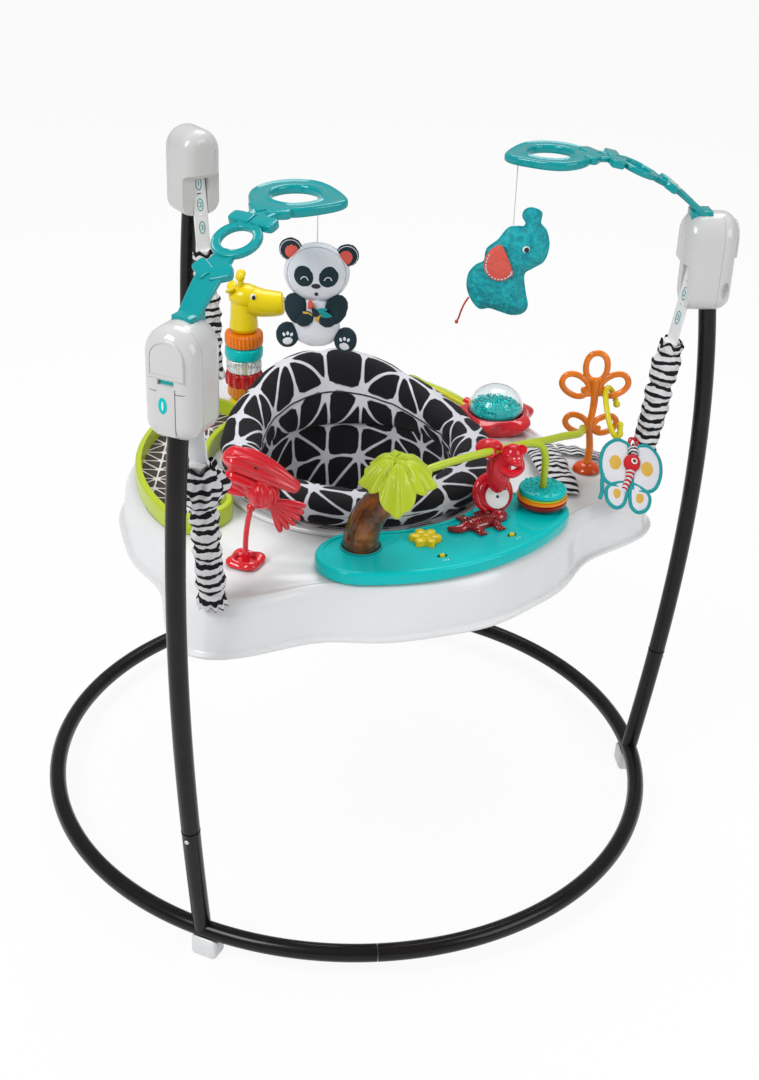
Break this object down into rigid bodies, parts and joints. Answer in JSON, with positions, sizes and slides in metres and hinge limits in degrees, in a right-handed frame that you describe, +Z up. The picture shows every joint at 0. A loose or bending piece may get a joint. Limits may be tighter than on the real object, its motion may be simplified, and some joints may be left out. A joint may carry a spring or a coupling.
{
  "type": "baby activity jumper",
  "caption": "Baby activity jumper: tube frame on a floor ring, towers with sprung straps, a lobed toy tray, a turning padded seat and toys hung from arches.",
  "frame": {"origin": "On the floor, at the middle of the whole object's plan.", "axes": "+Z is up. +X points to the right of the picture and +Y away from the camera; the seat faces about 20 degrees to the right of the camera's side."},
  "size_m": [0.8577, 0.8278, 0.8993],
  "materials": {
    "black_steel": "gloss black powder coat",
    "white_plastic": "moulded, glossy",
    "button_plastic": "moulded, pale grey",
    "strap_plastic": "flexible white strap",
    "spring_steel": "bright spring wire",
    "zebra_fabric": "black and white striped cloth",
    "teal_plastic": "moulded, glossy",
    "cord_thread": "thin white thread",
    "cord_coral": "twisted coral cord",
    "plush_grey": "short plush",
    "plush_teal": "crinkled cloth",
    "seat_fabric": "black woven cloth with pale line print",
    "brown_lens": "translucent brown moulding",
    "red_lens": "translucent red moulding",
    "orange_lens": "translucent orange moulding",
    "amber_plastic": "coloured rings",
    "lime_plastic": "moulded, satin gloss",
    "yellow_plastic": "moulded, glossy",
    "red_plastic": "moulded, glossy",
    "clear_plastic": "clear dome",
    "wing_fabric": "printed cloth with ribbon edges"
  },
  "bodies": {
    "frame": {"base_tube_front": "black_steel", "leg_front": "black_steel", "floor_foot_front": "white_plastic", "housing_inner_front": "white_plastic", "housing_outer_front": "white_plastic", "base_tube_right": "black_steel", "leg_right": "black_steel", "floor_foot_right": "white_plastic", "housing_inner_right": "white_plastic", "housing_outer_right": "white_plastic", "base_tube_back": "black_steel", "leg_back": "black_steel", "floor_foot_back": "white_plastic", "housing_inner_back": "white_plastic", "housing_outer_back": "white_plastic", "arch_right": "teal_plastic", "arch_front": "teal_plastic"},
    "straps": {"height_strap_front": "strap_plastic", "coil_spring_front": "spring_steel", "spring_sleeve_front": "zebra_fabric", "height_strap_right": "strap_plastic", "coil_spring_right": "spring_steel", "spring_sleeve_right": "zebra_fabric", "height_strap_back": "strap_plastic", "coil_spring_back": "spring_steel", "spring_sleeve_back": "zebra_fabric"},
    "tray": {"tray_shell": "white_plastic", "toy_panel": "teal_plastic", "trunk_lens": "brown_lens", "palm_leaves": "lime_plastic", "lizard_lens": "red_lens", "vine": "lime_plastic", "roller_base": "red_plastic", "orange_tree": "orange_lens", "giraffe": "yellow_plastic", "bird_stand": "red_plastic", "lime_pod": "lime_plastic", "zebra_flap": "zebra_fabric"},
    "seat": {"seat_ring": "white_plastic", "seat_pad": "seat_fabric", "seat_bucket": "seat_fabric"},
    "discs": {"disc_stack": "teal_plastic"},
    "rings": {"giraffe_rings": "amber_plastic"},
    "dome": {"roller_dome": "clear_plastic"},
    "button": {"flower_button": "yellow_plastic"},
    "volume": {"volume_switch": "yellow_plastic"},
    "mode": {"mode_switch": "yellow_plastic"},
    "snap_front": {"snap_button_front": "button_plastic"},
    "snap_right": {"snap_button_right": "button_plastic"},
    "snap_back": {"snap_button_back": "button_plastic"},
    "hanging_monkey": {"monkey": "red_lens"},
    "link": {"yellow_link": "yellow_plastic"},
    "hanging_butterfly": {"butterfly": "wing_fabric"},
    "nodding_bird": {"bird": "red_plastic"},
    "hanging_panda": {"panda_cord": "cord_thread", "panda_head": "plush_grey", "panda_body": "plush_grey"},
    "hanging_elephant": {"elephant_cord": "cord_thread", "elephant_body": "plush_teal", "elephant_tail": "cord_coral"}
  },
  "joints": [
    {"name": "height_adjust", "type": "slide", "parent": "frame", "child": "straps", "axis": [0, 0, 1], "range_m": [0, 0.028]},
    {"name": "tray_bounce", "type": "slide", "parent": "straps", "child": "tray", "axis": [0, 0, 1], "range_m": [-0.08, 0.05], "stiffness_N_per_m": 2200, "springref_m": 0.0067, "deforming": ["coil_spring_front", "coil_spring_right", "coil_spring_back", "spring_sleeve_front", "spring_sleeve_right", "spring_sleeve_back"]},
    {"name": "seat_spin", "type": "hinge", "parent": "tray", "child": "seat", "pos_m": [-0.0192, 0.0033, 0.474], "axis": [0, 0, 1], "continuous": true},
    {"name": "disc_spin", "type": "hinge", "parent": "tray", "child": "discs", "pos_m": [0.2073, -0.0977, 0.494], "axis": [0, 0, 1], "continuous": true},
    {"name": "ring_spin", "type": "hinge", "parent": "tray", "child": "rings", "pos_m": [-0.1822, 0.2133, 0.4835], "axis": [0, 0, 1], "continuous": true},
    {"name": "dome_spin", "type": "hinge", "parent": "tray", "child": "dome", "pos_m": [0.1628, 0.1643, 0.497], "axis": [0, 0, 1], "continuous": true},
    {"name": "flower_press", "type": "slide", "parent": "tray", "child": "button", "axis": [0, 0, -1], "range_m": [0, 0.002], "stiffness_N_per_m": 400},
    {"name": "volume_slide", "type": "slide", "parent": "tray", "child": "volume", "axis": [0.9135, 0.4067, 0], "range_m": [-0.003, 0.003]},
    {"name": "mode_slide", "type": "slide", "parent": "tray", "child": "mode", "axis": [0.6884, 0.7254, 0], "range_m": [-0.003, 0.003]},
    {"name": "snap_press_front", "type": "slide", "parent": "frame", "child": "snap_front", "axis": [0.4067, 0.9135, 0], "range_m": [0, 0.003], "stiffness_N_per_m": 500},
    {"name": "snap_press_right", "type": "slide", "parent": "frame", "child": "snap_right", "axis": [-0.9945, -0.1045, 0], "range_m": [0, 0.003], "stiffness_N_per_m": 500},
    {"name": "snap_press_back", "type": "slide", "parent": "frame", "child": "snap_back", "axis": [0.5878, -0.809, 0], "range_m": [0, 0.003], "stiffness_N_per_m": 500},
    {"name": "monkey_swing", "type": "hinge", "parent": "tray", "child": "hanging_monkey", "pos_m": [0.1388, -0.1447, 0.5815], "axis": [0.8055, 0.5926, 0], "range_deg": [0, 8]},
    {"name": "link_swing", "type": "hinge", "parent": "tray", "child": "link", "pos_m": [0.2973, 0.0393, 0.578], "axis": [1, 0, 0], "range_deg": [-15, 0]},
    {"name": "butterfly_swing", "type": "hinge", "parent": "link", "child": "hanging_butterfly", "pos_m": [0.3043, -0.0007, 0.539], "axis": [1, 0, 0], "range_deg": [-25, 0]},
    {"name": "bird_wobble", "type": "hinge", "parent": "tray", "child": "nodding_bird", "pos_m": [-0.1327, -0.2392, 0.5447], "axis": [0, 1, 0], "range_deg": [-12, 12], "stiffness_Nm_per_rad": 0.35},
    {"name": "panda_swing", "type": "hinge", "parent": "frame", "child": "hanging_panda", "pos_m": [-0.0671, -0.1627, 0.8875], "axis": [0, 1, 0], "range_deg": [-25, 25]},
    {"name": "elephant_swing", "type": "hinge", "parent": "frame", "child": "hanging_elephant", "pos_m": [0.1568, 0.0223, 0.8775], "axis": [0, 1, 0], "range_deg": [-25, 25]}
  ]
}
